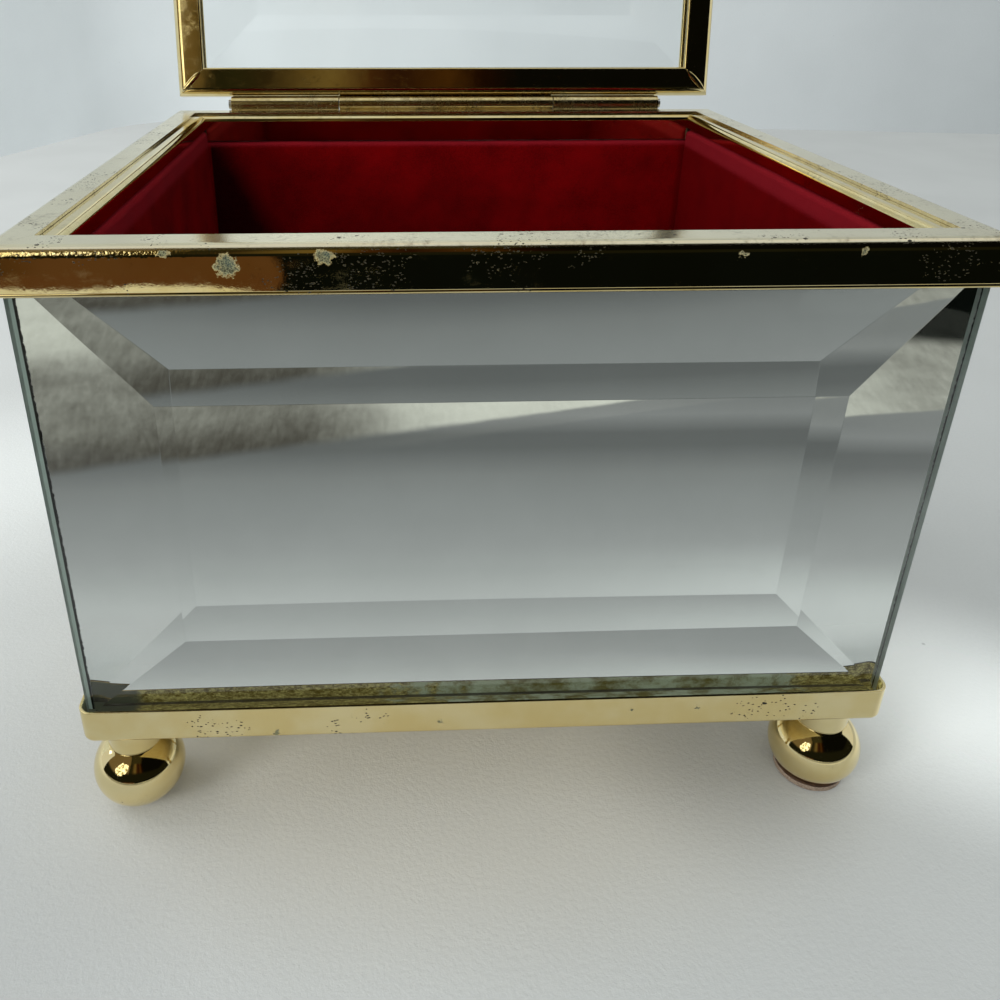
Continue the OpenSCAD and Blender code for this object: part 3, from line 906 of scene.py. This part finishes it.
# %% [markdown]
# The rim is bent from sheet: a flange on top, a rounded corner, a band down the outside, and a
# rolled lower edge, which is a slender bead. The mitres are eased a little, and that draws the
# fine bright line across each corner.

# %% The rim
SHEET = 0.6
BAND = rim_high.z - rim_low.z
FLANGE = 4.4
RIM_BEND = 1.2
HEM, RIM_HEM = 0.45, 0.27


def rim_strip(side):
    length, reach = along(side, WIDTH, DEPTH)
    legs = [FLANGE - RIM_BEND, (RIM_BEND, 90), BAND - RIM_BEND - RIM_HEM]
    bm = bent_strip((FLANGE, RIM_TOP), 180, legs, SHEET, (FLANGE, RIM_TOP - BAND), length, 0.12)
    bead(bm, RIM_HEM - HEM_OUT + SLACK, RIM_TOP - BAND + RIM_HEM, RIM_HEM, length)
    top = RIM_TOP - RIM_BEND * 0.45
    for face in bm.faces:
        face.material_index = 1 if face.calc_center_median().z > top else 0
    turn(bm, on_wall(side, reach))
    return finish_piece(bm, f"gilt_rim_{side}", [band_gilt, flange_gilt], [f"rim_{side}"])


for side in WALLS:
    print(rim_strip(side).name)

# %% [markdown]
# Inside the rim a second, narrower strip covers the top of the lining. It lies a little lower
# and turns down into the casket over a soft bend.

# %% The inner trim
TRIM_W, TRIM_DROP, TRIM_SHEET, TRIM_BEND, TRIM_GAP = 2.3, 0.4, 0.5, 1.0, 0.05


def trim_strip(side):
    low, high = span(f"trim_{side}")
    length, reach = along(side, WIDTH, DEPTH)
    inset = FLANGE + TRIM_GAP
    top = RIM_TOP - TRIM_DROP
    legs = [TRIM_W - TRIM_BEND, (TRIM_BEND, -90), top - low.z - TRIM_BEND]
    bm = bent_strip((inset, top), 0, legs, TRIM_SHEET, (inset, low.z), length, 0.05)
    turn(bm, on_wall(side, reach))
    return finish_piece(bm, f"gilt_trim_{side}", [trim_gilt], [f"trim_{side}"])


for side in WALLS:
    print(trim_strip(side).name)

# %% [markdown]
# A mirror pane is a slab of real thickness, cut from a plain block. Its front face is inset by
# the bevel's width and pushed forward by the bevel's depth. The back face carries the silver,
# the ends are ground and the lower edge has taken the tray's grime, so one closed mesh has four
# finishes and nothing lies doubled up against anything else.

# %% Mirror panes
BEVEL_W, BEVEL_DEPTH = 15.0, 3.3
RIDGE_EASE, ARRIS_EASE = 0.03, 0.12


def block(bm, low, high):
    """A box between two corners."""
    low, high = Vector(low), Vector(high)
    bmesh.ops.create_cube(bm, size=1)
    stretch(bm, high - low)
    move(bm, (low + high) / 2)


def grind_bevel(bm, face, out):
    """Insets a face by the bevel's width and pushes what is left of it out."""
    bmesh.ops.inset_region(bm, faces=[face], thickness=BEVEL_W, use_even_offset=True)
    move(bm, out, face.verts[:])


def mirror_pane(side):
    low, high = span(f"pane_{side}")
    across = 0 if side in FRONT_AND_BACK else 1
    half = (high[across] - low[across]) / 2 - SLACK
    thick = high[1 - across] - low[1 - across]
    bm = bmesh.new()
    block(bm, (-half, BEVEL_DEPTH, low.z + SLACK), (half, thick, high.z - SLACK))
    grind_bevel(bm, min(bm.faces, key=lambda f: f.calc_center_median().y), (0, -BEVEL_DEPTH, 0))
    ease(bm, RIDGE_EASE, 1, edges=[e for e in sharp_edges(bm, 8) if e.calc_face_angle() < 0.5])
    ease(bm, ARRIS_EASE, 1, 80)
    for face in bm.faces:
        if face.calc_center_median().y > thick - 0.01:
            face.material_index = 1
        elif abs(face.normal.y) < 0.8:
            face.material_index = 3 if face.normal.z < -0.5 else 2
    out = {"front": MIDDLE.y - low.y, "back": high.y - MIDDLE.y, "left": -low.x, "right": high.x}[side]
    turn(bm, on_wall(side, out))
    silver = silvering(f"silver_film_{side}", low, high, across)
    return finish_piece(bm, f"mirror_{side}", [pane_glass, silver, ground, grimy_gilt],
                        [f"pane_{side}"], crisp=5)


for side in WALLS:
    print(mirror_pane(side).name)

# %% [markdown]
# Behind the silver comes a coat of backing paint. It stands a hair behind the film, because two
# faces in one plane would fight for every ray.

# %% Backing paint
def backing_coat(side):
    low, high = span(f"silver_{side}")
    if side in ("front", "left"):
        low[side == "front"] += SLACK
    else:
        high[side == "back"] -= SLACK
    bm = bmesh.new()
    block(bm, low, high)
    ease(bm, 0.04, 1)
    return finish_piece(bm, f"backing_{side}", [backing], [f"silver_{side}"])


for side in WALLS:
    print(backing_coat(side).name)

# %% [markdown]
# The tray is one pressed sheet. A flat blank gets round corners, its border is pulled up into a
# lip, the fold is rounded, and the whole skin is thickened inwards. The inner side of the lip
# lies out of the polishing wheel's reach and has gone green.

# %% The pressed tray
TRAY_CORNER, TRAY_BEND, TRAY_SHEET = 1.8, 0.8, 0.4


def pressed_tray():
    low, high = span("base_tray")
    bm = bmesh.new()
    bmesh.ops.create_grid(bm, x_segments=1, y_segments=1, size=0.5)
    stretch(bm, (high.x - low.x, high.y - low.y, 1))
    round_over(bm, bm.verts[:], TRAY_CORNER, 8, "VERTICES")
    pull(bm, [e for e in bm.edges if e.is_boundary], (0, 0, high.z - low.z))
    face_outwards(bm)
    ease(bm, TRAY_BEND, 5)
    move(bm, (0, MIDDLE.y, low.z))
    thicken(bm, TRAY_SHEET, (MIDDLE.y, high.z))
    face_outwards(bm)
    for face in bm.faces:
        out = face.calc_center_median() - MIDDLE
        out.z = 0
        inner = face.normal.dot(out.normalized()) < -0.2 and face.calc_center_median().z > low.z + 1
        face.material_index = 1 if inner else 0
    ease(bm, 0.12)
    return finish_piece(bm, "gilt_tray", [tray_gilt, grimy_gilt], ["base_tray"])


print(pressed_tray().name)

# %% [markdown]
# A foot is turned. The same walking point draws half of its outline, from the flat under the
# ball, round the ball, into the neck and up the collar, and a spin round the upright axis makes
# the solid. Three feet stand on thin felt, and the front right one on a thick pad that the ball
# has pressed hollow, with old glue on its upper side.

# %% Ball feet and felt pads
BALL_R, BALL_HALF_H, BALL_Z, BALL_FLAT, COLLAR_R = 6.29, 5.6, 5.3, 0.5, 3.7
SQUASH = BALL_HALF_H / BALL_R
GROOVE = 0.22


def turn_round(bm, steps=96):
    """Spins the outline round the upright axis and welds the seam and the poles."""
    bmesh.ops.spin(bm, geom=bm.verts[:] + bm.edges[:], cent=(0, 0, 0), axis=(0, 0, 1), dvec=(0, 0, 0),
                   angle=math.tau, steps=steps, use_merge=True)
    bmesh.ops.remove_doubles(bm, verts=bm.verts[:], dist=1e-4)


def ball_foot(name):
    low, high = span(name)
    under = math.asin((BALL_FLAT - BALL_Z) / BALL_HALF_H)
    neck = math.acos((COLLAR_R - GROOVE) / BALL_R)
    start, end = math.degrees(under), math.degrees(neck)
    bm = bmesh.new()
    walk(bm, (0, BALL_R * math.sin(under)), 0,
         [BALL_R * math.cos(under), (0, 90 + start), (BALL_R, end - start)], steps=24)
    stretch(bm, (1, 1, SQUASH))
    move(bm, (0, 0, BALL_Z))
    tip = max(bm.verts, key=lambda v: v.co.z)
    for y, z in ((COLLAR_R - GROOVE, tip.co.z + GROOVE), (COLLAR_R, tip.co.z + GROOVE + 0.1),
                 (COLLAR_R, high.z), (0, high.z)):
        tip = drawn_on(bm, tip, (0, y, z))
    turn_round(bm)
    ease(bm, 0.1, 2, 40)
    move(bm, ((low.x + high.x) / 2, (low.y + high.y) / 2, 0))
    return finish_piece(bm, f"ball_{name}", [foot_gilt], [name], crisp=60)


def felt_pad(name):
    low, high = span(name)
    radius, thick = (high.x - low.x) / 2, high.z - low.z
    soft = thick * 0.3
    legs = [radius - soft, (soft, 90), thick - 2 * soft, (soft, 90), radius - soft]
    bm = bmesh.new()
    walk(bm, (0, 0), 0, legs, steps=4)
    turn_round(bm, 64)
    if thick > BALL_FLAT:
        for vert in bm.verts:
            away = min(1, vert.co.xy.length / (BALL_R + SLACK))
            sunk = BALL_Z - BALL_HALF_H * math.sqrt(1 - away ** 2)
            vert.co.z = min(vert.co.z, max(sunk, BALL_FLAT))
    for vert in bm.verts:
        if vert.co.z > 0.1 and vert.co.xy.length > radius * 0.7:
            vert.co.z += 0.08 * noise.noise(vert.co * 1.3)
            vert.co.xy *= 1 - 0.012 * abs(noise.noise(vert.co * 4))
    face_outwards(bm)
    for face in bm.faces:
        glued = thick > BALL_FLAT and face.normal.z > 0.35 and face.calc_center_median().z > thick * 0.4
        face.material_index = 1 if glued else 0
    move(bm, ((low.x + high.x) / 2, (low.y + high.y) / 2, 0))
    return finish_piece(bm, f"felt_{name}", [felt, glue], [name], crisp=60)


for corner in CORNERS:
    print(ball_foot(f"foot_{corner}").name, felt_pad(f"pad_{corner}").name)

# %% [markdown]
# Each lining panel is a card wrapped in velvet, so it is a thin box with well rounded edges
# whose face is not quite flat. The floor is a thin cushion, highest in the middle, whose edges
# turn down to the card.

# %% Velvet lining
def soft_block(low, high, edge, axes, size):
    """A block with well rounded edges, cut across some axes into squares about this large."""
    bm = bmesh.new()
    block(bm, low, high)
    ease(bm, edge, 4)
    for i in axes:
        across = Vector(Matrix.Identity(3)[i])
        cuts = int((high[i] - low[i]) / size)
        for number in range(1, cuts):
            cut(bm, low + across * (high[i] - low[i]) * number / cuts, across)
    return bm


def velvet_panel(side):
    low, high = span(f"lining_{side}")
    bm = soft_block(low, high, 0.9, (0, 1, 2), 3)
    inward = ((MIDDLE - (low + high) / 2) * Vector((1, 1, 0))).normalized()
    for vert in bm.verts:
        sway = noise.noise(vert.co / 14) * 0.16 + noise.noise(vert.co / 3.5) * 0.05
        vert.co += inward * min(0.0, sway - 0.12)
        if vert.co.z > high.z - 1.2:
            vert.co.z -= 0.14 + 0.14 * noise.noise(vert.co / 5)
    piece = finish_piece(bm, f"velvet_{side}", [velvet], [f"lining_{side}"], crisp=80)
    return piece


def velvet_floor():
    low, high = span("lining_floor")
    bm = soft_block(low, high, 1.1, (0, 1), 2.5)
    for vert in bm.verts:
        if vert.co.z > low.z + 1.5:
            near = min(vert.co.x - low.x, high.x - vert.co.x, vert.co.y - low.y, high.y - vert.co.y)
            drop = 0.9 * math.exp(-near / 4) + 0.1 + 0.18 * noise.noise(vert.co / 12)
            vert.co.z -= max(0, drop)
    piece = finish_piece(bm, "velvet_floor", [velvet], ["lining_floor"], crisp=80)
    return piece


for side in WALLS:
    print(velvet_panel(side).name)
print(velvet_floor().name)

# %% [markdown]
# The lid is made closed, in the same way as the rim, and then swung open. The joint in the
# record says where the hinge pin is, which way it points and how far the lid travels, so the
# swing is read from there.

# %% The lid's swing
hinge = frame["joints"][0]
PIN = Vector(hinge["pos_m"]) / MM
opened = rotation(-hinge["range_deg"][0], Vector(hinge["axis"]))
swing = Matrix.Translation(PIN) @ opened @ Matrix.Translation(-PIN)
LID_W, LID_D, LID_T, LID_GAP = WIDTH - 0.6, DEPTH - 0.2, 5.6, 0.3
RAIL, RAIL_BEND = 5.4, 1.6
LID_FOOT = RIM_TOP + LID_GAP
print("lid swings", hinge["range_deg"], "about", [round(v, 1) for v in PIN])

# %% [markdown]
# A channel holds the lid's glass: a flat underside, two rounded outer edges and a flat top,
# with a rolled lip along the glass above and below. A bead of solder fills each mitre on the
# underside and draws a bright gold line across the corner.

# %% Lid rails
SOLDER_W, SOLDER_H, SOLDER_OUT, SOLDER_START, SOLDER_REACH = 0.65, 0.4, 0.2, 0.9, 0.56


def solder_line(bm, length, reach, height):
    """Adds a slender bead that lies in the mitre."""
    part = bmesh.new()
    bmesh.ops.create_uvsphere(part, u_segments=20, v_segments=16, radius=1)
    stretch(part, (SOLDER_W, SOLDER_H, reach))
    turn(part, rotation(45, "Z") @ rotation(90, "X"))
    inward = SOLDER_START + reach * math.sqrt(0.5)
    move(part, (length / 2 - inward, inward, height))
    add(bm, part)


def lid_rail(side):
    length, reach = along(side, LID_W, LID_D)
    lip = RAIL - HEM
    flat, bend = lip - RAIL_BEND, (RAIL_BEND, -90)
    bm = bent_strip((lip, LID_FOOT), 180, [flat, bend, LID_T - 2 * RAIL_BEND, bend, flat], SHEET,
                    (lip, LID_FOOT + LID_T / 2), length, 0.24, 3)
    for height in (HEM, LID_T - HEM):
        bead(bm, lip, LID_FOOT + height, HEM, length)
    solder_line(bm, length, lip * SOLDER_REACH, LID_FOOT + SOLDER_H - SOLDER_OUT)
    turn(bm, swing @ on_wall(side, reach))
    return finish_piece(bm, f"channel_{side}", [lid_gilt], [f"lid_rail_{side}"], body="lid")


for side in WALLS:
    print(lid_rail(side).name)

# %% [markdown]
# The lid's pane is clear, bevelled on its upper side and flat underneath. It sits in the
# channel on the lower lip.

# %% The lid's glass
LID_BITE, LID_SEAT, LID_EDGE, GLASS_T = 4.6, 0.9, 2.6, 6.0


def lid_pane():
    x, y = LID_W / 2 - RAIL + LID_BITE, LID_D / 2 - RAIL + LID_BITE
    bm = bmesh.new()
    block(bm, (-x, -y, 0), (x, y, LID_EDGE))
    top = max(bm.faces, key=lambda f: f.calc_center_median().z)
    grind_bevel(bm, top, (0, 0, GLASS_T - LID_EDGE))
    ease(bm, 0.1, 1, 80)
    move(bm, MIDDLE + Vector((0, 0, LID_FOOT + LID_SEAT + SLACK)))
    turn(bm, swing)
    return finish_piece(bm, "clear_lid_pane", [lid_glass], ["lid_pane"], "lid", crisp=5)


print(lid_pane().name)

# %% [markdown]
# The hinge is rolled from sheet too. Each strip runs up or down to the pin and curls right round
# it. The box's leaf has a knuckle at each end and the lid's has the long one between them.

# %% The hinge
HINGE_L, KNUCKLE_R, LEAF, KNUCKLE_GAP, CURL = 86.4, 1.5, 0.7, 0.15, 335
LEAF_CLEAR, LEAF_OVERLAP, LID_LEAF_H = 0.2, 0.1, 2.5
CENTRE_L = HINGE_L / 2
LEAF_FACE, LEAF_FOOT = PIN.y - KNUCKLE_R, span("hinge_box_leaf")[0].z


def rolled(bm, low, high, start):
    """A strip that runs from a height to the pin and curls round it, between two places along X."""
    part = bmesh.new()
    up = math.copysign(1, PIN.z - start)
    walk(part, (LEAF_FACE, start), 90 * up, [abs(PIN.z - start), (KNUCKLE_R, -CURL * up)], steps=10)
    strip(part, low, high)
    thicken(part, LEAF, (PIN.y, PIN.z))
    ease(part, 0.08)
    add(bm, part)


def plate(bm, low, high):
    """A flat leaf between two corners."""
    part = bmesh.new()
    block(part, low, high)
    ease(part, 0.08)
    add(bm, part)


def box_leaf():
    bm = bmesh.new()
    shoulder = PIN.z - KNUCKLE_R - LEAF_CLEAR
    end, inner = HINGE_L / 2, CENTRE_L / 2 + KNUCKLE_GAP
    rolled(bm, -end, -inner, LEAF_FOOT)
    rolled(bm, inner, end, LEAF_FOOT)
    x = inner + LEAF_OVERLAP
    plate(bm, (-x, LEAF_FACE, LEAF_FOOT), (x, LEAF_FACE + LEAF, shoulder))
    return finish_piece(bm, "hinge_leaf_on_box", [hinge_gilt], ["hinge_box_leaf"])


def lid_leaf():
    bm = bmesh.new()
    foot = PIN.z + KNUCKLE_R + LEAF_CLEAR
    head = foot + LID_LEAF_H
    back = LEAF_FACE - LEAF_OVERLAP
    plate(bm, (-HINGE_L / 2, back, foot), (HINGE_L / 2, back + LEAF, head))
    rolled(bm, -CENTRE_L / 2, CENTRE_L / 2, head)
    turn(bm, swing)
    return finish_piece(bm, "hinge_leaf_on_lid", [hinge_gilt], ["hinge_lid_leaf"], body="lid")


print(box_leaf().name, lid_leaf().name)

# %% [markdown]
# What hardly shows keeps its measured shape and only gets its finish.

# %% Hidden pieces
HIDDEN = {"base_board": card, "packing_frame": card, "foot_screws": steel, "hinge_pin": steel}
HIDDEN.update((f"seam_{corner}", cement) for corner in CORNERS)
for name, material in HIDDEN.items():
    for place in frame["nodes"][name].material_slots:
        place.material = material
print("hidden pieces dressed")

# %% [markdown]
# Last, the visual model's size is printed beside the measured one.

# %% Sizes
low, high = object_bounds()
for what, size in (("measured", cad_high - cad_low), ("visual", high - low)):
    print(what, [round(v / MM, 1) for v in size])
